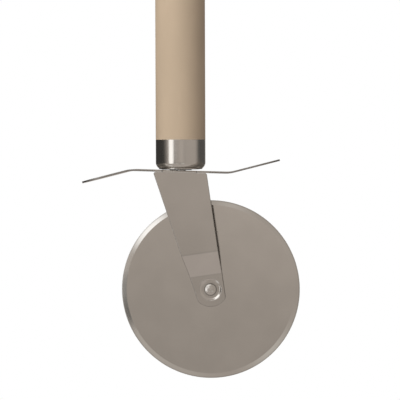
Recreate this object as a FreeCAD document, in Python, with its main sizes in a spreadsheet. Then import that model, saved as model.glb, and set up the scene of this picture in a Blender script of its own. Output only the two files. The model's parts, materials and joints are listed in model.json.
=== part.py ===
import FreeCAD, Part
import os
import re

import Sketcher
from FreeCAD import Placement, Rotation, Vector

# A pizza cutter. The frame has +Z up along the grip, +X along the finger guard and +Y along the wheel's
# axle, with the origin on the grip's axis, where the grip meets the ferrule. The bracket hangs from a seat
# under the ferrule, turned by a small tilt about Y, and its one arm is in front of the wheel. "Front" is
# the -Y side, and "left" and "right" are as seen from there.

# Driving dimensions, in millimetres and degrees
DIMENSIONS = {
    # Grip and the ferrule over its spigot
    "grip_diameter": 25.1,
    "grip_length": 110,
    "grip_end_radius": 5,
    "ferrule_diameter": 25.1,
    "ferrule_height": 15,
    "ferrule_wall": 0.6,
    "ferrule_floor": 0.8,
    "ferrule_corner_radius": 3.6,
    "ferrule_inner_chamfer": 2,
    "spigot_clearance": 0.05,
    # Fixing of the bracket to the grip
    "screw_diameter": 5,
    "screw_length": 16,
    "screw_head_diameter": 9,
    "screw_head_height": 2.8,
    "screw_head_chamfer": 1,
    "screw_socket_width": 3,
    "screw_socket_depth": 1.7,
    "screw_clearance": 0.25,
    "insert_diameter": 8,
    "insert_length": 13,
    "insert_recess": 0.5,
    "thread_clearance": 0.03,
    "spacer_diameter": 11.2,
    "spacer_thickness": 0.3,
    "spring_washer_diameter": 8.8,
    "spring_washer_thickness": 1.2,
    "spring_washer_split": 1,
    "bracket_tilt": 1.84,
    # Stamped sheet: the finger guard and the neck bent down from its front edge
    "sheet_thickness": 0.9,
    "guard_width": 25,
    "guard_reach": 49.8,
    "guard_tip_flat": 1,
    "wing_bend": 25,
    "wing_angle": 16,
    "wing_bend_radius": 16,
    "neck_width": 17,
    "neck_bend_radius": 0.4,
    "neck_relief": 0.25,
    # Stamped sheet: the arm, measured from the axle
    "axle_offset": 16.92,
    "axle_drop": 59.6,
    "arm_slit": 0.05,
    "arm_corner_radius": 1,
    "arm_left_lean": 20.3,
    "arm_left_margin": 7.95,
    "arm_right_lean": 9.9,
    "arm_right_margin": 6.9,
    "tab_radius": 8.7,
    "tab_corner_radius": 2,
    "joggle_foot": 7.7,
    "joggle_top": 18.7,
    "joggle_bend_radius": 1.5,
    "dimple_radius": 5.6,
    "dimple_floor_radius": 4.6,
    "dimple_depth": 0.7,
    "dimple_edge_radius": 0.4,
    # Wheel, and the axle that it turns on
    "wheel_diameter": 90,
    "wheel_thickness": 1.2,
    "wheel_bevel": 2.4,
    "wheel_edge_thickness": 0.2,
    "wheel_side_clearance": 0.15,
    "wheel_bore_clearance": 0.06,
    "bush_diameter": 6,
    "bush_clearance": 0.03,
    "rivet_diameter": 4,
    "rivet_head_diameter": 6.1,
    "rivet_head_height": 1.4,
    "rivet_dome_radius": 6.5,
    "rivet_shoulder_radius": 0.5,
    "rivet_foot_diameter": 10,
    "rivet_foot_height": 1.6,
    "rivet_foot_chamfer": 0.7,
    "thrust_washer_diameter": 8.6,
    "thrust_washer_thickness": 1,
}

# Formulas that several pieces share
SPIGOT_LENGTH = "(ferrule_height - ferrule_floor - spigot_clearance)"
SPIGOT_RADIUS = "(ferrule_diameter / 2 - ferrule_wall - spigot_clearance)"
SCREW_HOLE_RADIUS = "(screw_diameter / 2 + screw_clearance)"
SPACER_DROP = "(spacer_diameter / 2 * tan(bracket_tilt) + spacer_thickness)"
SEAT_DROP = f"(ferrule_height + {SPACER_DROP})"
INSERT_FOOT = f"({SEAT_DROP} - {SPIGOT_LENGTH} + insert_recess)"
SCREW_SEAT = "(sheet_thickness + spring_washer_thickness)"
AXLE_X = "(axle_offset * cos(bracket_tilt) - axle_drop * sin(bracket_tilt))"
AXLE_DROP = f"({SEAT_DROP} + axle_offset * sin(bracket_tilt) + axle_drop * cos(bracket_tilt))"
ARM_FACE = "(guard_width / 2)"
WASHER_FACE = "(wheel_thickness / 2 + wheel_side_clearance)"
BOSS_FACE = f"({WASHER_FACE} + thrust_washer_thickness)"
DIMPLE_FLOOR = f"({BOSS_FACE} + sheet_thickness)"
TAB_FACE = f"({DIMPLE_FLOOR} + dimple_depth)"
RIVET_HOLE_RADIUS = "(rivet_diameter / 2 + bush_clearance)"
BUSH_HOLE_RADIUS = "(bush_diameter / 2 + wheel_bore_clearance)"

# The sketch planes of pieces turned about Z and about Y
UPRIGHT = "XZ_Plane"
ALONG_AXLE = "XY_Plane"

# How near to its edge a spot must be, and a sketch's numbers for its axes and for a line's points
TOUCH = 1e-4
X_AXIS, Y_AXIS = range(-1, -3, -1)
START, END, CENTRE = range(1, 4)
ORIGIN = (X_AXIS, START)

doc = FreeCAD.newDocument("PizzaCutter")
sheet = doc.addObject("Spreadsheet::Sheet", "Dimensions")
for row, (alias, size) in enumerate(DIMENSIONS.items(), start=1):
    sheet.set(f"A{row}", alias)
    sheet.set(f"B{row}", str(size))
    sheet.setAlias(f"B{row}", alias)
doc.recompute()


def in_sheet(formula):
    """Write a formula of dimension names so that any object of the document can read it."""

    def cell(word):
        return f"Dimensions.{word[0]}" if word[0] in DIMENSIONS else word[0]

    return re.sub(r"[a-z_]+", cell, formula)


def value(formula):
    result = sheet.evalExpression(in_sheet(formula))
    return getattr(result, "Value", result)


def bind(piece, setting, formula):
    piece.setExpression(setting, in_sheet(formula))


# Sketches and features


def add_body(label):
    body = doc.addObject("PartDesign::Body", label)
    body.Label = label
    return body


def add_sketch(body, name, plane):
    sketch = body.newObject("Sketcher::SketchObject", name)
    support = next(feature for feature in body.Origin.OriginFeatures if feature.Role == plane)
    sketch.AttachmentSupport = [(support, "")]
    sketch.MapMode = "FlatFace"
    return sketch


def hold_point(sketch, geometry, point, x, y):
    """Hold one point of a sketch at two formulas, or on an axis where a formula is 0."""
    for kind, formula, axis in (("DistanceX", x, Y_AXIS), ("DistanceY", y, X_AXIS)):
        if formula == "0":
            sketch.addConstraint(Sketcher.Constraint("PointOnObject", geometry, point, axis))
        else:
            size = Sketcher.Constraint(kind, *ORIGIN, geometry, point, value(formula))
            bind(sketch, f"Constraints[{sketch.addConstraint(size)}]", formula)


def add_loop(sketch, corners, arc=None):
    """Draw a closed outline through corners given by formulas.

    An arc, if there is one, is (side, middle point, radius): that side bulges through the middle point.
    """
    points = [Vector(value(x), value(y), 0) for x, y in corners]
    first = sketch.GeometryCount
    for side, (start, end) in enumerate(zip(points, points[1:] + points[:1])):
        if arc and side == arc[0]:
            middle = Vector(value(arc[1][0]), value(arc[1][1]), 0)
            sketch.addGeometry(Part.Arc(start, middle, end))
            radius = Sketcher.Constraint("Radius", first + side, value(arc[2]))
            bind(sketch, f"Constraints[{sketch.addConstraint(radius)}]", arc[2])
        else:
            sketch.addGeometry(Part.LineSegment(start, end))
    for side, (x, y) in enumerate(corners):
        after = first + (side + 1) % len(corners)
        sketch.addConstraint(Sketcher.Constraint("Coincident", first + side, END, after, START))
        hold_point(sketch, first + side, START, x, y)


def add_circle(sketch, x, y, radius):
    centre = Vector(value(x), value(y), 0)
    circle = sketch.addGeometry(Part.Circle(centre, Vector(0, 0, 1), value(radius)))
    hold_point(sketch, circle, CENTRE, x, y)
    size = Sketcher.Constraint("Radius", circle, value(radius))
    bind(sketch, f"Constraints[{sketch.addConstraint(size)}]", radius)


def add_pad(body, name, sketch, length, symmetric=True):
    pad = body.newObject("PartDesign::Pad", name)
    pad.Profile = sketch
    pad.SideType = "Symmetric" if symmetric else "One side"
    bind(pad, "Length", length)
    doc.recompute()
    return pad


def add_pocket(body, name, sketch, depth=None):
    """Cut a sketch through the whole body, or to a depth along the sketch's own direction."""
    before = body.Shape.Volume
    pocket = body.newObject("PartDesign::Pocket", name)
    pocket.Profile = sketch
    if depth:
        pocket.Reversed = True
        bind(pocket, "Length", depth)
    else:
        pocket.Type = "ThroughAll"
        pocket.SideType = "Symmetric"
    doc.recompute()
    if body.Shape.Volume >= before:
        raise RuntimeError(f"{name} cuts nothing")
    return pocket


def add_turned(label, plane, corners, arc=None):
    """Turn an outline of radii and heights about its sketch's upright axis."""
    body = add_body(label)
    sketch = add_sketch(body, f"{label}_profile", plane)
    add_loop(sketch, corners, arc)
    turned = body.newObject("PartDesign::Revolution", f"{label}_turned")
    turned.Profile = sketch
    turned.ReferenceAxis = (sketch, ["V_Axis"])
    turned.Angle = 360
    doc.recompute()
    return body


def edges_through(shape, spots):
    """Number the edges of a shape that pass through the given spots."""
    numbers = []
    for spot in spots:
        vertex = Part.Vertex(*(value(part) for part in spot))
        found = [n for n, edge in enumerate(shape.Edges, start=1) if edge.distToShape(vertex)[0] < TOUCH]
        if len(found) != 1:
            raise RuntimeError(f"{len(found)} edges pass through {spot}")
        numbers += found
    return numbers


def add_fillet(body, name, spots, radius):
    """Round the edges of a body that pass through the given spots."""
    sharp = body.Tip
    fillet = body.newObject("PartDesign::Fillet", name)
    fillet.Base = (sharp, [f"Edge{number}" for number in edges_through(sharp.Shape, spots)])
    bind(fillet, "Radius", radius)
    doc.recompute()


def add_boolean(kind, label, **inputs):
    result = doc.addObject(f"Part::{kind}", label)
    result.Label = label
    result.Refine = True
    for name, piece in inputs.items():
        setattr(result, name, piece)
    doc.recompute()
    return result


# Places on the tilted head


def tilt(piece, x, drop):
    piece.Placement = Placement(Vector(), Rotation(Vector(0, 1, 0), value("bracket_tilt")))
    bind(piece, "Placement.Rotation.Angle", "bracket_tilt")
    bind(piece, "Placement.Base.x", x)
    bind(piece, "Placement.Base.z", f"-{drop}")
    doc.recompute()
    return piece


def at_seat(piece):
    """Place a piece made about the fixing axis, with its origin on the top of the bracket."""
    return tilt(piece, "0", SEAT_DROP)


def at_axle(piece):
    """Place a piece made about the axle."""
    return tilt(piece, AXLE_X, AXLE_DROP)


# Grip, ferrule and fixing


def make_grip():
    radius = "grip_diameter / 2"
    blank = add_turned("grip_blank", UPRIGHT, [
        ("0", f"-{SPIGOT_LENGTH}"),
        (f"{SPIGOT_RADIUS} - ferrule_inner_chamfer", f"-{SPIGOT_LENGTH}"),
        (SPIGOT_RADIUS, f"ferrule_inner_chamfer - {SPIGOT_LENGTH}"),
        (SPIGOT_RADIUS, "0"),
        (radius, "0"),
        (radius, "grip_length"),
        ("0", "grip_length"),
    ])
    add_fillet(blank, "grip_end", [("0", radius, "grip_length")], "grip_end_radius")
    bores = []
    for label, bore_radius, depth in (
        ("insert_bore", "insert_diameter / 2 + thread_clearance", f"{INSERT_FOOT} + insert_length"),
        ("screw_bore", SCREW_HOLE_RADIUS, f"screw_length - {SCREW_SEAT} + screw_clearance"),
    ):
        bore = doc.addObject("Part::Cylinder", label)
        bind(bore, "Radius", bore_radius)
        bind(bore, "Height", depth)
        bores.append(at_seat(bore))
    return add_boolean("Cut", "grip", Base=blank, Tool=add_boolean("MultiFuse", "grip_bores", Shapes=bores))


def make_ferrule():
    outer = "ferrule_diameter / 2"
    inner = f"({outer} - ferrule_wall)"
    floor = "(ferrule_floor - ferrule_height)"
    cup = add_turned("ferrule", UPRIGHT, [
        (SCREW_HOLE_RADIUS, "-ferrule_height"),
        (outer, "-ferrule_height"),
        (outer, "0"),
        (inner, "0"),
        (inner, f"{floor} + ferrule_inner_chamfer"),
        (f"{inner} - ferrule_inner_chamfer", floor),
        (SCREW_HOLE_RADIUS, floor),
    ])
    add_fillet(cup, "ferrule_foot", [("0", outer, "-ferrule_height")], "ferrule_corner_radius")
    return cup


def make_ring(label, plane, inner, outer, low, high):
    return add_turned(label, plane, [(inner, low), (outer, low), (outer, high), (inner, high)])


def make_threaded_insert():
    bore = "screw_diameter / 2 + thread_clearance"
    top = f"{INSERT_FOOT} + insert_length"
    return at_seat(make_ring("threaded_insert", UPRIGHT, bore, "insert_diameter / 2", INSERT_FOOT, top))


def make_spacer_washer():
    """The washer flat under the ferrule. The tilted bracket meets it at one side."""
    rim = "spacer_diameter / 2"
    foot = "-(ferrule_height + spacer_thickness)"
    return make_ring("spacer_washer", UPRIGHT, SCREW_HOLE_RADIUS, rim, foot, "-ferrule_height")


def make_spring_washer():
    radius = "spring_washer_diameter / 2"
    foot = f"-{SCREW_SEAT}"
    ring = make_ring("spring_washer", UPRIGHT, SCREW_HOLE_RADIUS, radius, foot, "-sheet_thickness")
    split = add_sketch(ring, "spring_washer_gap", "XY_Plane")
    add_loop(split, [
        ("0", "-spring_washer_split / 2"),
        ("spring_washer_diameter", "-spring_washer_split / 2"),
        ("spring_washer_diameter", "spring_washer_split / 2"),
        ("0", "spring_washer_split / 2"),
    ])
    add_pocket(ring, "spring_washer_cut", split)
    return at_seat(ring)


def make_fixing_screw():
    head = "screw_head_diameter / 2"
    shank = "screw_diameter / 2"
    foot = f"-({SCREW_SEAT} + screw_head_height)"
    tip = f"(screw_length - {SCREW_SEAT})"
    screw = add_turned("fixing_screw", UPRIGHT, [
        ("0", foot),
        (f"{head} - screw_head_chamfer", foot),
        (head, f"{foot} + screw_head_chamfer"),
        (head, f"-{SCREW_SEAT}"),
        (shank, f"-{SCREW_SEAT}"),
        (shank, tip),
        ("0", tip),
    ])
    socket = add_sketch(screw, "screw_socket_outline", "XY_Plane")
    bind(socket, "AttachmentOffset.Base.z", foot)
    corner = "screw_socket_width / 2 / cos(30)"
    hexagon = [(f"{corner} * cos({turn})", f"{corner} * sin({turn})") for turn in range(30, 390, 60)]
    add_loop(socket, hexagon)
    add_pocket(screw, "screw_socket", socket, "screw_socket_depth")
    return at_seat(screw)


# Stamped bracket: its blanks are made about the axle, square to the guard


def make_guard():
    """The Z-bent strip: a flat web with one wing bent down and the other bent up."""
    strip = add_body("guard_strip")
    section = add_sketch(strip, "guard_section", "XZ_Plane")
    mitre = "sheet_thickness * tan(wing_angle / 2)"
    rise = "(guard_reach - wing_bend) * tan(wing_angle)"
    low = "axle_drop - sheet_thickness"
    tip_in = "sheet_thickness * sin(wing_angle)"
    tip_low = "axle_drop - sheet_thickness * cos(wing_angle)"
    left_bend = "-axle_offset - wing_bend"
    right_bend = "wing_bend - axle_offset"
    left_tip = "-axle_offset - guard_reach"
    right_tip = "guard_reach - axle_offset"
    add_loop(section, [
        (left_tip, f"axle_drop - {rise}"),
        (f"{left_tip} + {tip_in}", f"{tip_low} - {rise}"),
        (f"{left_bend} + {mitre}", low),
        (f"{right_bend} + {mitre}", low),
        (f"{right_tip} + {tip_in}", f"{tip_low} + {rise}"),
        (right_tip, f"axle_drop + {rise}"),
        (right_bend, "axle_drop"),
        (left_bend, "axle_drop"),
    ])
    add_pad(strip, "guard_pad", section, "guard_width")
    inner_bends = [(f"{left_bend} + {mitre}", "0", low), (right_bend, "0", "axle_drop")]
    outer_bends = [(left_bend, "0", "axle_drop"), (f"{right_bend} + {mitre}", "0", low)]
    tip_middle = f"(axle_drop + {tip_low}) / 2"
    tips = [
        (f"{tip} + {tip_in} / 2", f"{side} * guard_width / 2", f"{tip_middle} + {way} * {rise}")
        for tip, way in ((left_tip, -1), (right_tip, 1))
        for side in (-1, 1)
    ]
    add_fillet(strip, "guard_inner_bends", inner_bends, "wing_bend_radius")
    add_fillet(strip, "guard_outer_bends", outer_bends, "wing_bend_radius + sheet_thickness")
    add_fillet(strip, "guard_tips", tips, "(guard_width - guard_tip_flat) / 2")
    notch = add_sketch(strip, "neck_notch_outline", "XY_Plane")
    half = "(neck_width / 2 + neck_relief)"
    start = f"neck_bend_radius + sheet_thickness - {ARM_FACE}"
    add_loop(notch, [
        (f"-axle_offset - {half}", "-guard_width"),
        (f"{half} - axle_offset", "-guard_width"),
        (f"{half} - axle_offset", start),
        (f"-axle_offset - {half}", start),
    ])
    add_pocket(strip, "neck_notch", notch)
    hole = add_sketch(strip, "screw_hole_outline", "XY_Plane")
    add_circle(hole, "-axle_offset", "0", SCREW_HOLE_RADIUS)
    add_pocket(strip, "screw_hole", hole)
    return strip


def make_neck():
    """The neck, bent through a right angle from the web into the arm."""
    neck = add_body("neck")
    section = add_sketch(neck, "neck_section", "YZ_Plane")
    bind(section, "AttachmentOffset.Base.z", "-axle_offset")
    outer = f"-{ARM_FACE}"
    inner = f"sheet_thickness - {ARM_FACE}"
    low = "axle_drop - sheet_thickness"
    lap = "2 * (neck_bend_radius + sheet_thickness)"
    web = f"{lap} - {ARM_FACE}"
    foot = f"axle_drop - {lap}"
    add_loop(section, [
        (outer, foot),
        (inner, foot),
        (inner, low),
        (web, low),
        (web, "axle_drop"),
        (outer, "axle_drop"),
    ])
    add_pad(neck, "neck_pad", section, "neck_width")
    inside = ("-axle_offset", inner, low)
    outside = ("-axle_offset", outer, "axle_drop")
    add_fillet(neck, "neck_inner_bend", [inside], "neck_bend_radius")
    add_fillet(neck, "neck_outer_bend", [outside], "neck_bend_radius + sheet_thickness")
    return neck


def make_arm_outline():
    """The arm seen from the front: two leaning sides and a round end about the axle."""
    prism = add_body("arm_outline")
    outline = add_sketch(prism, "arm_sides", "XZ_Plane")
    top = "(axle_drop - sheet_thickness - arm_slit)"
    left_run = "sqrt(tab_radius ^ 2 - arm_left_margin ^ 2)"
    right_run = "sqrt(tab_radius ^ 2 - arm_right_margin ^ 2)"
    top_left = (f"-(arm_left_margin + {top} * sin(arm_left_lean)) / cos(arm_left_lean)", top)
    top_right = (f"(arm_right_margin - {top} * sin(arm_right_lean)) / cos(arm_right_lean)", top)
    low_left = (
        f"{left_run} * sin(arm_left_lean) - arm_left_margin * cos(arm_left_lean)",
        f"-{left_run} * cos(arm_left_lean) - arm_left_margin * sin(arm_left_lean)",
    )
    low_right = (
        f"{right_run} * sin(arm_right_lean) + arm_right_margin * cos(arm_right_lean)",
        f"arm_right_margin * sin(arm_right_lean) - {right_run} * cos(arm_right_lean)",
    )
    round_end = (1, ("0", "-tab_radius"), "tab_radius")
    add_loop(outline, [top_left, low_left, low_right, top_right], arc=round_end)
    add_pad(prism, "arm_pad", outline, "guard_width", symmetric=False)
    middle = f"-{ARM_FACE}"
    top_corners = [(x, middle, z) for x, z in (top_left, top_right)]
    low_corners = [(x, middle, z) for x, z in (low_left, low_right)]
    add_fillet(prism, "arm_top_corners", top_corners, "arm_corner_radius")
    add_fillet(prism, "tab_corners", low_corners, "tab_corner_radius")
    return prism


def make_joggled_sheet():
    """A sheet that steps in from the arm's face to the tab's, with bends square to the arm's right side."""
    plate = add_body("joggled_sheet")
    section = add_sketch(plate, "joggle_section", "YZ_Plane")
    section.AttachmentOffset = Placement(Vector(), Rotation(Vector(-1, 0, 0), value("arm_right_lean")))
    bind(section, "AttachmentOffset.Rotation.Angle", "arm_right_lean")
    slope = f"atan(({ARM_FACE} - {TAB_FACE}) / (joggle_top - joggle_foot))"
    mitre = f"sheet_thickness * tan({slope} / 2)"
    arm_inner = f"sheet_thickness - {ARM_FACE}"
    tab_inner = f"sheet_thickness - {TAB_FACE}"
    top = "2 * axle_drop"
    foot = "-2 * tab_radius"
    add_loop(section, [
        (f"-{TAB_FACE}", foot),
        (tab_inner, foot),
        (tab_inner, f"joggle_foot + {mitre}"),
        (arm_inner, f"joggle_top + {mitre}"),
        (arm_inner, top),
        (f"-{ARM_FACE}", top),
        (f"-{ARM_FACE}", "joggle_top"),
        (f"-{TAB_FACE}", "joggle_foot"),
    ])
    add_pad(plate, "joggle_pad", section, "4 * axle_drop")

    def bend(depth, height):
        return f"-({height}) * sin(arm_right_lean)", depth, f"({height}) * cos(arm_right_lean)"

    inner = [bend(f"-{TAB_FACE}", "joggle_foot"), bend(arm_inner, f"joggle_top + {mitre}")]
    outer = [bend(tab_inner, f"joggle_foot + {mitre}"), bend(f"-{ARM_FACE}", "joggle_top")]
    add_fillet(plate, "joggle_inner_bends", inner, "joggle_bend_radius")
    add_fillet(plate, "joggle_outer_bends", outer, "joggle_bend_radius + sheet_thickness")
    return plate


def make_dimple():
    """The pressed dimple: what it adds behind the tab, and what it takes from the tab's face."""
    slope = "atan(dimple_depth / (dimple_radius - dimple_floor_radius))"
    mitre = f"sheet_thickness * tan({slope} / 2)"
    face = f"-{TAB_FACE}"
    floor = f"-{DIMPLE_FLOOR}"
    boss_face = f"-{BOSS_FACE}"
    boss_radius = f"dimple_floor_radius + {mitre}"
    boss = add_turned("dimple_boss", ALONG_AXLE, [
        ("0", face),
        (f"dimple_radius + {mitre}", face),
        (f"dimple_radius + {mitre}", f"{face} + sheet_thickness"),
        (boss_radius, boss_face),
        ("0", boss_face),
    ])
    add_fillet(boss, "boss_edge", [("0", boss_face, boss_radius)], "dimple_edge_radius")
    recess = add_turned("dimple_recess", ALONG_AXLE, [
        ("0", f"{face} - sheet_thickness"),
        ("dimple_radius", f"{face} - sheet_thickness"),
        ("dimple_radius", face),
        ("dimple_floor_radius", floor),
        (RIVET_HOLE_RADIUS, floor),
        (RIVET_HOLE_RADIUS, "0"),
        ("0", "0"),
    ])
    add_fillet(recess, "recess_edge", [("0", floor, "dimple_floor_radius")], "dimple_edge_radius")
    return boss, recess


def make_guard_bracket():
    plate = add_boolean("Common", "arm_plate", Base=make_arm_outline(), Tool=make_joggled_sheet())
    boss, recess = make_dimple()
    raised = add_boolean("MultiFuse", "raised_arm", Shapes=[plate, boss])
    arm = add_boolean("Cut", "dimpled_arm", Base=raised, Tool=recess)
    return at_axle(add_boolean("MultiFuse", "guard_bracket", Shapes=[make_guard(), make_neck(), arm]))


# Wheel and axle


def make_cutting_wheel():
    rim = "wheel_diameter / 2"
    face = "wheel_thickness / 2"
    edge = "wheel_edge_thickness / 2"
    return at_axle(add_turned("cutting_wheel", ALONG_AXLE, [
        (BUSH_HOLE_RADIUS, f"-{face}"),
        (f"{rim} - wheel_bevel", f"-{face}"),
        (rim, f"-{edge}"),
        (rim, edge),
        (f"{rim} - wheel_bevel", face),
        (BUSH_HOLE_RADIUS, face),
    ]))


def make_axle_rivet():
    """The rivet: its broad foot behind the wheel, and its domed head in the dimple in front."""
    head = "(rivet_head_diameter / 2)"
    shank = "rivet_diameter / 2"
    foot = "rivet_foot_diameter / 2"
    front = f"-({DIMPLE_FLOOR} + rivet_head_height)"
    rear = f"({BOSS_FACE} + rivet_foot_height)"

    def dome(radius):
        return f"{front} + rivet_dome_radius - sqrt(rivet_dome_radius ^ 2 - ({radius}) ^ 2)"

    shoulder = dome(head)
    crown = (0, (f"{head} / 2", dome(f"{head} / 2")), "rivet_dome_radius")
    rivet = add_turned("axle_rivet", ALONG_AXLE, [
        ("0", front),
        (head, shoulder),
        (head, f"-{DIMPLE_FLOOR}"),
        (shank, f"-{DIMPLE_FLOOR}"),
        (shank, BOSS_FACE),
        (foot, BOSS_FACE),
        (foot, f"{rear} - rivet_foot_chamfer"),
        (f"{foot} - rivet_foot_chamfer", rear),
        ("0", rear),
    ], crown)
    add_fillet(rivet, "rivet_shoulder", [("0", shoulder, head)], "rivet_shoulder_radius")
    return at_axle(rivet)


def make_hub_bush():
    radius = "bush_diameter / 2"
    front = f"-{BOSS_FACE}"
    return at_axle(make_ring("hub_bush", ALONG_AXLE, RIVET_HOLE_RADIUS, radius, front, BOSS_FACE))


def make_thrust_washer(label, low, high):
    radius = "thrust_washer_diameter / 2"
    return at_axle(make_ring(label, ALONG_AXLE, BUSH_HOLE_RADIUS, radius, low, high))


pieces = [
    make_grip(),
    make_ferrule(),
    make_threaded_insert(),
    make_spacer_washer(),
    make_spring_washer(),
    make_fixing_screw(),
    make_guard_bracket(),
    make_cutting_wheel(),
    make_axle_rivet(),
    make_hub_bush(),
    make_thrust_washer("front_thrust_washer", f"-{BOSS_FACE}", f"-{WASHER_FACE}"),
    make_thrust_washer("rear_thrust_washer", WASHER_FACE, BOSS_FACE),
]
doc.recompute()

for item in doc.Objects:
    if {"Invalid", "Error"} & set(item.State):
        raise RuntimeError(f"{item.Label} failed: {item.State}")
for piece in pieces:
    if piece.Shape.isNull() or not piece.Shape.isValid() or len(piece.Shape.Solids) != 1:
        raise RuntimeError(f"{piece.Label} is not one valid solid")

os.makedirs("parts", exist_ok=True)
for piece in pieces:
    piece.Shape.exportStep(f"parts/{piece.Label}.step")
    print(f"{piece.Label}: {piece.Shape.Volume:.1f} cubic mm")
print(f"axle at x {value(AXLE_X):.4f}, z {-value(AXLE_DROP):.4f}")
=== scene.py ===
import json
import math

import bpy
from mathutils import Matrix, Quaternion, Vector


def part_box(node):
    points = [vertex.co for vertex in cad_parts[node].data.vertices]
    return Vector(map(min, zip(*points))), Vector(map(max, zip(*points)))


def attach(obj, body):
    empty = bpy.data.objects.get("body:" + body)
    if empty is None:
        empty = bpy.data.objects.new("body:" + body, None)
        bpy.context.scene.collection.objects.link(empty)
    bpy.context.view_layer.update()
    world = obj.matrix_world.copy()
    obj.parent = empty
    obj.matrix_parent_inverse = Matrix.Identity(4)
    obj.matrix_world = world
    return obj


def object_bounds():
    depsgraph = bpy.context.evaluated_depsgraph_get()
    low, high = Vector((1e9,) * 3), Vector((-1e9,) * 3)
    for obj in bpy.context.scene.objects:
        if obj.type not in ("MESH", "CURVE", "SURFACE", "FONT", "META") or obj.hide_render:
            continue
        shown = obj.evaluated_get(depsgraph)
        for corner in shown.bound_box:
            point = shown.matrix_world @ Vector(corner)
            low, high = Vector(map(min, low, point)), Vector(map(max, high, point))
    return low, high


# A pizza cutter on a white studio floor. Lengths are in metres and angles in degrees. Azimuth 0 is straight
# in front of the arm, and azimuths grow towards +X, which is the right of the picture.

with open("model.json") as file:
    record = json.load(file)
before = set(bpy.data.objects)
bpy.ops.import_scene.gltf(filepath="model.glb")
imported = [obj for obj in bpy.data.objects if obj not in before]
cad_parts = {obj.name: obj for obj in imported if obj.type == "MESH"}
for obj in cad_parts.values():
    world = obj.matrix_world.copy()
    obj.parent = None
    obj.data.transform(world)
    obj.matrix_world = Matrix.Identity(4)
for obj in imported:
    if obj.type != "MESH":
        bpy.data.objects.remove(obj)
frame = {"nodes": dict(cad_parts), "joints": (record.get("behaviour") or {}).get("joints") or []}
cad_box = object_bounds()
wheel_joint = next(joint for joint in frame["joints"] if joint["child"] == "wheel")
AXLE = Vector(wheel_joint["pos_m"])
LOWEST = cad_box[0].z

# Camera
CAMERA_AZIMUTH = 2.5
CAMERA_ELEVATION = 1.2
CAMERA_ROLL = -0.2
CAMERA_DISTANCE = 1
CAMERA_LENS = 178
CAMERA_AIM = Vector((0.00972, 0, -0.03048))

# Light on the matte pieces
AMBIENT_LIGHT = 0.41
AMBIENT_COLOUR = (1, 0.93, 0.89, 1)
KEY_AZIMUTH = -35
KEY_ELEVATION = 30
KEY_DISTANCE = 1.2
KEY_SIZE = 0.7
KEY_POWER = 11.3

# Surroundings that only the steel mirrors
DOME_RADIUS = 1.6
DOME_STEP = 2
WALL_COLOUR = (0.47, 0.424, 0.383)
GLOW_COLOUR = (0.5, 0.53, 0.53)
TABLE_COLOUR = (0.56, 0.505, 0.465)
CEILING_COLOUR = (0.52, 0.47, 0.43)
SOFTBOX_COLOUR = (1.7, 1.68, 1.65)
SIDE_COLOUR = (0.2, 0.188, 0.172)
HIGH_SIDE_COLOUR = (0.18, 0.17, 0.156)
LEFT_FLAG_COLOUR = (0.05, 0.048, 0.045)
RIGHT_FLAG_COLOUR = (0.107, 0.104, 0.099)
LAMP_COLOUR = (1.5, 1.5, 1.5)
LOW_LAMP_COLOUR = (0.9, 0.88, 0.86)
GAP_COLOUR = (0.12, 0.114, 0.105)

# Floor and background
WHITE = (1, 1, 1, 1)
FLOOR_DROP = 1.7
FLOOR_HALF = 20
FLOOR_COLOUR = (0.9, 0.9, 0.89, 1)
FLOOR_FADE = (0.3, 1.5)
FLOOR_NEAR_WHITE = 0.5

# Bead round the ferrule's foot
BEAD_RADIUS = 0.01095
BEAD_INNER_RADIUS = 0.0098
BEAD_RISE = 0.0002
BEAD_HEIGHT = 0.00044
BEAD_STEPS = 120
BEAD_SHARP_EDGE = 40

# Colours of the finishes
GRIP_COLOUR = (0.515, 0.405, 0.288, 1)
STEEL_COLOUR = (0.60, 0.578, 0.55, 1)
FERRULE_COLOUR = (0.615, 0.593, 0.564, 1)
BLADE_COLOUR = (0.655, 0.633, 0.602, 1)
ZINC_COLOUR = (0.62, 0.62, 0.62, 1)
BRASS_COLOUR = (0.74, 0.55, 0.27, 1)
NYLON_COLOUR = (0.80, 0.78, 0.71, 1)

# Wear on metal, and the painted shade along the sheet's edges
EDGE_RADIUS = 0.0002
SHEET_EDGE_SHADE_RADIUS = 0.0006
EDGE_SAMPLES = 6
EDGE_TURNS = (0.9, 0.995)
EDGE_TONE = 1.15
SMUDGE_SCALE = 55
SMUDGE_TONES = (0.97, 1.02)
SMUDGE_ROUGHNESS = (0.85, 1.2)
GRAIN_ROUGHNESS = 0.02
SCRATCH_TURNS = (35, -50)
SCRATCH_SCALE = 900
SCRATCH_STRETCH = (1, 1, 0.02)
SCRATCH_SPAN = (0.68, 0.76)
SCRATCH_DEPTH = 0.5
SCRATCH_ROUGHNESS = 0.03
BUMP_STRENGTH = 0.5

# Places with a finish of their own or with painted shade: the blade's honed rim, the guard's cut edges on
# both sides of the arm's top (dull, and partly painted shade), painted shade on the arm's back, and painted
# shade round the rivet's head
HONED_RIM = (0.0442, 0.0447)
ARM_TOP_MIDDLE = 0.00125
ARM_TOP_HALF = 0.01375
GUARD_BOTTOM = -0.0263
CUT_FACING = (0.6, 0.75)
SHADED_BACK_FACING = 0.5
CREVICE_SHADE_RADIUS = 0.003
CREVICE_SHADE_WIDTH = 0.0006
CREVICE_SHADE_SHARE = 0.8

# Wear on the grip
GRIP_TONES = (0.965, 1.03)
GRIP_ROUGHNESS = (0.52, 0.64)
GRIP_TEXTURE_DEPTH = 0.00003
SCUFF_SPAN = (0.66, 0.78)
SCUFF_SHARE = 0.25
SCUFF_TONE = 1.15

# Nylon
NYLON_SEE_THROUGH = 0.15
NYLON_SPREAD = (0.001, 0.0009, 0.0007)
NYLON_GRAIN_DEPTH = 0.00002
NYLON_ROUGHNESS = (0.4, 0.55)
NYLON_EDGE_GLOSS = 0.1
GREASE_TONE = 0.85


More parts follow.
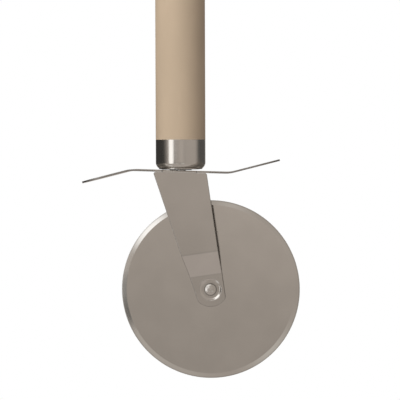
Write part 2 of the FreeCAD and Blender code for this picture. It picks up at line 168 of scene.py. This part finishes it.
def towards(azimuth, elevation):
    """The direction from the object to a place round it."""
    turn, rise = math.radians(azimuth), math.radians(elevation)
    return Vector((math.sin(turn) * math.cos(rise), -math.cos(turn) * math.cos(rise), math.sin(rise)))


def link_object(name, data):
    obj = bpy.data.objects.new(name, data)
    bpy.context.scene.collection.objects.link(obj)
    return obj


class Look:
    """The node tree of a surface or of the world, while it is put together."""

    def __init__(self, tree):
        self.tree = tree

    def node(self, kind, inputs=None, **settings):
        """Add a node, with constants or other nodes' outputs at its inputs."""
        node = self.tree.nodes.new(f"ShaderNode{kind}")
        for name, setting in settings.items():
            setattr(node, name, setting)
        self.set(node, inputs or {})
        return node

    def set(self, node, inputs):
        for name, source in inputs.items():
            self.feed(node.inputs[name], source)

    def feed(self, socket, source):
        """Give an input a constant, or link another node's output to it."""
        if isinstance(source, bpy.types.NodeSocket):
            self.tree.links.new(source, socket)
        else:
            socket.default_value = source

    def math(self, operation, *terms):
        return self.node("Math", dict(enumerate(terms)), operation=operation).outputs[0]

    def place(self):
        return self.node("TexCoord").outputs["Object"]

    def noise(self, scale, detail=3, stretch=(1, 1, 1), turn=0):
        """Noise in the row frame, drawn out where a part of stretch is small."""
        spot = self.node("Mapping", {
            "Vector": self.place(),
            "Scale": stretch,
            "Rotation": (0, math.radians(turn), 0),
        }, vector_type="TEXTURE" if turn else "POINT")
        cloud = self.node("TexNoise", {"Vector": spot.outputs[0], "Scale": scale, "Detail": detail})
        return cloud.outputs["Fac"]

    def span(self, source, low, high, start=0.3, end=0.7):
        """Map a source that runs from start to end on to the span from low to high."""
        mapped = self.node("MapRange", {
            "Value": source,
            "From Min": start,
            "From Max": end,
            "To Min": low,
            "To Max": high,
        }, interpolation_type="SMOOTHSTEP")
        return mapped.outputs[0]

    def blend(self, share, first, second):
        """Mix two colours, with the given share of the second."""
        mix = self.node("Mix", {"Factor": share}, data_type="RGBA")
        ends = [socket for socket in mix.inputs if socket.type == "RGBA"]
        for socket, colour in zip(ends, (first, second)):
            self.feed(socket, colour)
        return next(socket for socket in mix.outputs if socket.type == "RGBA")


def start_material(name, **constants):
    """A material with one surface shader, and constants on the shader's own sockets."""
    material = bpy.data.materials.new(name)
    material.use_nodes = True
    look = Look(material.node_tree)
    shader = material.node_tree.nodes["Principled BSDF"]
    look.set(shader, {word.replace("_", " "): setting for word, setting in constants.items()})
    return material, look, shader


def empty_look(owner):
    """The emptied node tree of a material or a world."""
    owner.use_nodes = True
    owner.node_tree.nodes.clear()
    return Look(owner.node_tree)


def shade(colour, factor):
    return tuple(part * factor for part in colour[:3]) + (1,)


def edge_wear_and_shade(look, radius=EDGE_RADIUS):
    """The normal with edges eased, and a mask that is 1 on the edges, for their wear and, on the sheet, for
    painted shade.
    """
    eased = look.node("Bevel", {"Radius": radius}, samples=EDGE_SAMPLES).outputs[0]
    flat = look.node("NewGeometry").outputs["Normal"]
    turned = look.node("VectorMath", {0: eased, 1: flat}, operation="DOT_PRODUCT").outputs["Value"]
    return eased, look.span(turned, 1, 0, *EDGE_TURNS)


# Finishes


def scratches_along(look, turn):
    """A mask of fine scratches that run one way."""
    lines = look.noise(SCRATCH_SCALE, detail=2, stretch=SCRATCH_STRETCH, turn=turn)
    return look.span(lines, 0, 1, *SCRATCH_SPAN)


def make_metal(
    name, colour, roughness, grain, grain_depth,
    edge_radius=EDGE_RADIUS, edge_tone=EDGE_TONE,
    dull_and_shade=None, dull_and_shade_tone=1, dull_roughness=0,
):
    """Worn metal: a grain in the surface, smudges in its gloss, fine scratches and eased edges.

    grain is a function that adds the grain's pattern to the look. The last three arguments add a mask of
    the places with less gloss and of the places with painted shade, with their tone and added roughness. A
    tone is how bright a place is beside the plain colour; an edge tone below 1 is painted shade along the
    edges.
    """
    material, look, shader = start_material(name, Metallic=1)
    eased, edge_share = edge_wear_and_shade(look, edge_radius)
    pattern = grain(look)
    smudges = look.noise(SMUDGE_SCALE, detail=5)
    scratches = look.math("MAXIMUM", *(scratches_along(look, turn) for turn in SCRATCH_TURNS))
    tinted = look.blend(look.span(smudges, 0, 1), *(shade(colour, tone) for tone in SMUDGE_TONES))
    rough = look.span(smudges, *(roughness * share for share in SMUDGE_ROUGHNESS))
    rough = look.math("ADD", rough, look.span(pattern, 0, GRAIN_ROUGHNESS))
    rough = look.math("ADD", rough, look.math("MULTIPLY", scratches, SCRATCH_ROUGHNESS))
    height = look.math("SUBTRACT", pattern, look.math("MULTIPLY", scratches, SCRATCH_DEPTH))
    bump = look.node("Bump", {
        "Height": height,
        "Distance": grain_depth,
        "Strength": BUMP_STRENGTH,
        "Normal": eased,
    })
    # Edges take the edge tone: paler wear on most metals, and on the sheet partly a dull burr and partly
    # painted shade
    finish = look.blend(edge_share, tinted, shade(colour, edge_tone))
    # The masked places are duller, and on the sheet and the rivet partly painted shade
    if dull_and_shade:
        share = dull_and_shade(look)
        finish = look.blend(share, finish, shade(colour, dull_and_shade_tone))
        rough = look.math("ADD", rough, look.math("MULTIPLY", share, dull_roughness))
    look.set(shader, {"Base Color": finish, "Roughness": rough, "Normal": bump.outputs[0]})
    return material


def turned_lines(look):
    """Fine lines round the ferrule, left by its brushing."""
    return look.noise(scale=9000, detail=2, stretch=(0.03, 0.03, 1))


def rolled_grain(look):
    """The faint grain of rolled sheet, along the guard."""
    return look.noise(scale=5000, stretch=(0.05, 1, 1))


def axle_distance(look):
    """How far a place is from the line of the wheel's axle."""
    offset = look.node("VectorMath", {0: look.place(), 1: AXLE}, operation="SUBTRACT").outputs[0]
    flat = look.node("VectorMath", {0: offset, 1: (1, 0, 1)}, operation="MULTIPLY").outputs[0]
    return look.node("VectorMath", {0: flat}, operation="LENGTH").outputs["Value"]


def ground_rings(look):
    """Rings about the axle, left by the grinding of the blade."""
    settings = {"W": axle_distance(look), "Scale": 7000, "Detail": 2}
    return look.node("TexNoise", settings, noise_dimensions="1D").outputs["Fac"]


def honed_rim(look):
    """A mask of the blade's rim, where the cutting edge was honed."""
    return look.span(axle_distance(look), 0, 1, *HONED_RIM)


def fine_grain(look):
    return look.noise(scale=6000)


def crevice_shade(look):
    """A mask of the painted shade in the crevice round the rivet's head."""
    off = look.math("ABSOLUTE", look.math("SUBTRACT", axle_distance(look), CREVICE_SHADE_RADIUS))
    return look.span(off, CREVICE_SHADE_SHARE, 0, start=0, end=CREVICE_SHADE_WIDTH)


def sheared_and_shaded(look):
    """A mask of the guard's cut edges, which are dull and partly painted shade, and of painted shade on the
    arm's back and round the rivet's head.
    """
    spot = look.node("SeparateXYZ", {0: look.place()}).outputs
    facing = look.node("SeparateXYZ", {0: look.node("NewGeometry").outputs["Normal"]}).outputs
    aside = look.math("ABSOLUTE", look.math("SUBTRACT", spot["X"], ARM_TOP_MIDDLE))
    wing = look.math("GREATER_THAN", aside, ARM_TOP_HALF)
    high = look.math("GREATER_THAN", spot["Z"], GUARD_BOTTOM)
    # The guard's cut edges, darker partly for their dull sheared finish and partly as painted shade
    edge = look.span(look.math("ABSOLUTE", facing["Y"]), 0, 1, *CUT_FACING)
    cut = look.math("MULTIPLY", edge, look.math("MULTIPLY", wing, high))
    # Painted shade on the faces below the guard that look back, among them the arm's face towards the
    # wheel, which the blade mirrors dark
    back = look.math("SUBTRACT", look.math("GREATER_THAN", facing["Y"], SHADED_BACK_FACING), high)
    return look.math("MAXIMUM", look.math("MAXIMUM", cut, back), crevice_shade(look))


def make_grip_plastic():
    """Matte moulded plastic, with a fine texture, faint mottling and a few paler scuffs."""
    material, look, shader = start_material("grip_plastic", IOR=1.46)
    mottle = look.noise(scale=70, detail=4, stretch=(1, 1, 0.4))
    texture = look.noise(scale=3500, detail=2)
    scuffs = look.span(look.noise(scale=260, stretch=(1, 1, 0.12)), 0, 1, *SCUFF_SPAN)
    eased, edge_share = edge_wear_and_shade(look)
    tinted = look.blend(look.span(mottle, 0, 1), *(shade(GRIP_COLOUR, tone) for tone in GRIP_TONES))
    marks = look.math("MULTIPLY", look.math("MAXIMUM", scuffs, edge_share), SCUFF_SHARE)
    bump = look.node("Bump", {
        "Height": texture,
        "Distance": GRIP_TEXTURE_DEPTH,
        "Strength": BUMP_STRENGTH,
        "Normal": eased,
    })
    look.set(shader, {
        "Base Color": look.blend(marks, tinted, shade(GRIP_COLOUR, SCUFF_TONE)),
        "Roughness": look.span(mottle, *GRIP_ROUGHNESS),
        "Normal": bump.outputs[0],
    })
    return material


def make_nylon():
    """Natural nylon, a little see-through and dulled by grease."""
    material, look, shader = start_material("washer_nylon", Subsurface_Weight=NYLON_SEE_THROUGH)
    look.set(shader, {"Subsurface Radius": NYLON_SPREAD})
    grease = look.noise(scale=600, detail=4)
    eased, edge_share = edge_wear_and_shade(look)
    bump = look.node("Bump", {"Height": fine_grain(look), "Distance": NYLON_GRAIN_DEPTH, "Normal": eased})
    edge_gloss = look.math("MULTIPLY", edge_share, NYLON_EDGE_GLOSS)
    look.set(shader, {
        "Base Color": look.blend(look.span(grease, 0, 1), shade(NYLON_COLOUR, GREASE_TONE), NYLON_COLOUR),
        "Roughness": look.math("SUBTRACT", look.span(grease, *NYLON_ROUGHNESS), edge_gloss),
        "Normal": bump.outputs[0],
    })
    return material


FINISHES = {
    "grip_plastic": make_grip_plastic(),
    "ferrule_steel": make_metal(
        "ferrule_steel", FERRULE_COLOUR, roughness=0.17, grain=turned_lines, grain_depth=0.000004,
    ),
    # The sheet's dark edges and cut edges are partly a dull sheared finish and partly painted shade; its
    # back and the ring by the rivet are painted shade
    "sheet_steel": make_metal(
        "sheet_steel", STEEL_COLOUR, roughness=0.1, grain=rolled_grain, grain_depth=0.000001,
        edge_radius=SHEET_EDGE_SHADE_RADIUS, edge_tone=0.45,
        dull_and_shade=sheared_and_shaded, dull_and_shade_tone=0.55, dull_roughness=0.3,
    ),
    "blade_steel": make_metal(
        "blade_steel", BLADE_COLOUR, roughness=0.08, grain=ground_rings, grain_depth=0.0000006,
        dull_and_shade=honed_rim, dull_and_shade_tone=0.8, dull_roughness=0.05,
    ),
    # The darker ring at the rim of the rivet's head is painted shade in the crevice
    "rivet_steel": make_metal(
        "rivet_steel", STEEL_COLOUR, roughness=0.25, grain=fine_grain, grain_depth=0.000002,
        dull_and_shade=crevice_shade, dull_and_shade_tone=0.35, dull_roughness=0.3,
    ),
    "fastener_steel": make_metal(
        "fastener_steel", ZINC_COLOUR, roughness=0.1, grain=fine_grain, grain_depth=0.000002,
    ),
    "brass": make_metal(
        "brass", BRASS_COLOUR, roughness=0.25, grain=fine_grain, grain_depth=0.000004,
    ),
    "washer_nylon": make_nylon(),
}
for node in frame["nodes"].values():
    for slot in node.material_slots:
        slot.material = FINISHES[slot.material.name.split(".")[0]]


def make_bead():
    """A thin bead round the ferrule's foot, left by its pressing, with its inner side sunk in the foot."""
    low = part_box("ferrule")[0].z + BEAD_RISE
    high = low + BEAD_HEIGHT
    outline = ((BEAD_INNER_RADIUS, low), (BEAD_RADIUS, low), (BEAD_RADIUS, high), (BEAD_INNER_RADIUS, high))
    sides = len(outline)
    points, faces = [], []
    for step in range(BEAD_STEPS):
        turn = math.tau * step / BEAD_STEPS
        here, there = step * sides, (step + 1) % BEAD_STEPS * sides
        for side, (radius, height) in enumerate(outline):
            beside = (side + 1) % sides
            points.append((radius * math.cos(turn), radius * math.sin(turn), height))
            faces.append((here + side, there + side, there + beside, here + beside))
    mesh = bpy.data.meshes.new("ferrule_bead")
    mesh.from_pydata(points, [], faces)
    mesh.shade_smooth()
    mesh.set_sharp_from_angle(angle=math.radians(BEAD_SHARP_EDGE))
    mesh.materials.append(FINISHES["ferrule_steel"])
    bead = link_object("ferrule_bead", mesh)
    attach(bead, "handle_assembly")


make_bead()


# Studio


def seen_directly(look):
    """1 for rays from the camera and from mirrors and glass, which show the white background."""
    path = look.node("LightPath").outputs
    mirrored = look.math("MAXIMUM", path["Is Glossy Ray"], path["Is Transmission Ray"])
    return look.math("MAXIMUM", path["Is Camera Ray"], mirrored)


def make_world():
    """A white background where it is seen, and an even warm light on the matte pieces."""
    world = bpy.data.worlds.new("studio")
    look = empty_look(world)
    light = look.node("Background", {"Strength": AMBIENT_LIGHT, "Color": AMBIENT_COLOUR})
    white = look.node("Background", {"Strength": 1, "Color": WHITE})
    mix = look.node("MixShader", {0: seen_directly(look), 1: light.outputs[0], 2: white.outputs[0]})
    look.node("OutputWorld", {"Surface": mix.outputs[0]})
    bpy.context.scene.world = world


def make_floor():
    """A pale floor that keeps the object's shadow near it, is white far off and isn't seen from below."""
    mesh = bpy.data.meshes.new("floor")
    corners = [Vector((x, y, 0)) * FLOOR_HALF for x, y in ((-1, -1), (1, -1), (1, 1), (-1, 1))]
    mesh.from_pydata(corners, [], [range(len(corners))])
    floor = link_object("floor", mesh)
    floor.location = (AXLE.x, 0, LOWEST - FLOOR_DROP)
    material = bpy.data.materials.new("floor")
    look = empty_look(material)
    distance = look.node("VectorMath", {0: look.place()}, operation="LENGTH").outputs["Value"]
    far = look.math("MULTIPLY", look.span(distance, FLOOR_NEAR_WHITE, 1, *FLOOR_FADE), seen_directly(look))
    pale = look.node("BsdfDiffuse", {"Color": FLOOR_COLOUR})
    white = look.node("Emission", {"Color": WHITE})
    above = look.node("MixShader", {0: far, 1: pale.outputs[0], 2: white.outputs[0]})
    below = look.node("BsdfTransparent")
    under = look.node("NewGeometry").outputs["Backfacing"]
    surface = look.node("MixShader", {0: under, 1: above.outputs[0], 2: below.outputs[0]})
    look.node("OutputMaterial", {"Surface": surface.outputs[0]})
    mesh.materials.append(material)


def ramp(position, ends, soft):
    """1 between two ends, falling to 0 over a soft width inside each."""
    inside = min((position - ends[0]) / soft[0], (ends[1] - position) / soft[1])
    share = min(1, max(0, inside))
    return share * share * (3 - 2 * share)


def light_from(azimuth, elevation):
    """The light from one place of the surroundings: a lit room, with lamps and dark flags in it."""

    def hump(peak, widths):
        """1 at the peak, fading away round it."""
        aside, above = (azimuth - peak[0]) / widths[0], (elevation - peak[1]) / widths[1]
        return math.exp(-(aside * aside + above * above) / 2)

    def cover(colour, azimuths, elevations, soft_azimuths, soft_elevations):
        """The light so far, with a patch of another colour laid over it."""
        share = ramp(azimuth, azimuths, soft_azimuths) * ramp(elevation, elevations, soft_elevations)
        return light.lerp(Vector(colour), share)

    # The uneven wall in front, which the disc, the arm and the bevel mirror
    gain = 1 + 0.1 * ramp(azimuth, (22, 150), (10, 20))
    gain += 0.34 * hump((4, 4.5), (9, 5.5)) - 0.16 * hump((-6, -7), (12, 6))
    gain -= 0.3 * hump((-1, -25), (6, 4)) + 0.1 * hump((20, -6), (5, 5))

    # Paler spots round it, which the bevel mirrors
    glow = 0.85 * hump((13, -18.5), (5, 5)) + 0.31 * hump((4, 21), (4, 4)) + 0.32 * hump((-18, -18), (7, 7))
    glow += 0.2 * hump((-8, -24), (5, 5)) + 0.06 * hump((16, 13), (8, 8))
    light = Vector(WALL_COLOUR) * gain + Vector(GLOW_COLOUR) * glow

    # Table, ceiling and the dim sides of the room
    light = cover(TABLE_COLOUR, (-200, 200), (-100, -26), (1, 1), (1, 12))
    light = cover(CEILING_COLOUR, (-200, 200), (30, 100), (1, 1), (12, 1))
    light = cover(SIDE_COLOUR, (-135, -72), (-100, 70), (15, 25), (1, 30))
    light = cover(SIDE_COLOUR, (80, 135), (-100, 70), (25, 15), (1, 30))

    # Dark flags at the sides, for the ferrule's wall and, higher up behind, for its rounded foot
    light = cover(LEFT_FLAG_COLOUR, (-170, -50), (-14, 14), (12, 34), (6, 6))
    light = cover(RIGHT_FLAG_COLOUR, (70, 168), (-14, 14), (34, 12), (6, 6))
    light = cover(HIGH_SIDE_COLOUR, (-175, -112), (8, 38), (12, 14), (6, 8))
    light = cover(HIGH_SIDE_COLOUR, (112, 175), (8, 38), (14, 12), (6, 8))

    # Lamps on the left, with a dark gap beside the softbox's lower end
    light = cover(LOW_LAMP_COLOUR, (-76, -46), (-58, -32), (9, 9), (8, 8))
    light = cover(SOFTBOX_COLOUR, (-44, 8), (28, 52), (10, 30), (6, 6))
    light = cover(SOFTBOX_COLOUR, (-80, -18), (20, 56), (8, 10), (6, 6))
    light = cover(SOFTBOX_COLOUR, (-55, -29), (-20, 17), (4, 4), (6, 8))
    light = cover(LAMP_COLOUR, (-29, -12), (6, 22), (5, 5), (5, 5))
    return cover(GAP_COLOUR, (-33, -21), (-16.5, 3.8), (4, 4), (5, 6))


def make_dome():
    """A round shell about the object with the light of the surroundings, which only mirrors show."""
    columns = 360 // DOME_STEP
    rows = 180 // DOME_STEP
    points, lights = [], []
    for row in range(rows + 1):
        elevation = row * DOME_STEP - 90
        for column in range(columns):
            azimuth = column * DOME_STEP - 180
            points.append(AXLE + towards(azimuth, elevation) * DOME_RADIUS)
            lights.append([*light_from(azimuth, elevation), 1])
    faces = []
    for row in range(rows):
        for column in range(columns):
            here, there = row * columns + column, row * columns + (column + 1) % columns
            faces.append((here, there, there + columns, here + columns))
    mesh = bpy.data.meshes.new("surroundings")
    mesh.from_pydata(points, [], faces)
    attribute = mesh.attributes.new("light", "FLOAT_COLOR", "POINT")
    for spot, light in zip(attribute.data, lights):
        spot.color = light
    material = bpy.data.materials.new("surroundings")
    look = empty_look(material)
    glow = look.node("Emission", {"Color": look.node("Attribute", attribute_name="light").outputs["Color"]})
    look.node("OutputMaterial", {"Surface": glow.outputs[0]})
    mesh.materials.append(material)
    dome = link_object("surroundings", mesh)
    dome.visible_camera = False
    dome.visible_diffuse = False
    dome.visible_shadow = False


def make_key():
    """A soft lamp for the matte pieces. The softbox in the surroundings stands for it in the steel."""
    lamp = bpy.data.lights.new("key", "AREA")
    lamp.energy = KEY_POWER
    lamp.size = KEY_SIZE
    key = link_object("key", lamp)
    back = towards(KEY_AZIMUTH, KEY_ELEVATION)
    key.location = back * KEY_DISTANCE
    key.rotation_euler = (-back).to_track_quat("-Z", "Y").to_euler()
    key.visible_glossy = False


def make_camera():
    lens = bpy.data.cameras.new("camera")
    lens.lens = CAMERA_LENS
    camera = link_object("camera", lens)
    back = towards(CAMERA_AZIMUTH, CAMERA_ELEVATION)
    roll = Quaternion((0, 0, 1), math.radians(CAMERA_ROLL))
    camera.location = CAMERA_AIM + back * CAMERA_DISTANCE
    camera.rotation_euler = ((-back).to_track_quat("-Z", "Y") @ roll).to_euler()
    bpy.context.scene.camera = camera


make_world()
make_floor()
make_dome()
make_key()
make_camera()
bpy.context.scene.view_settings.view_transform = "Standard"
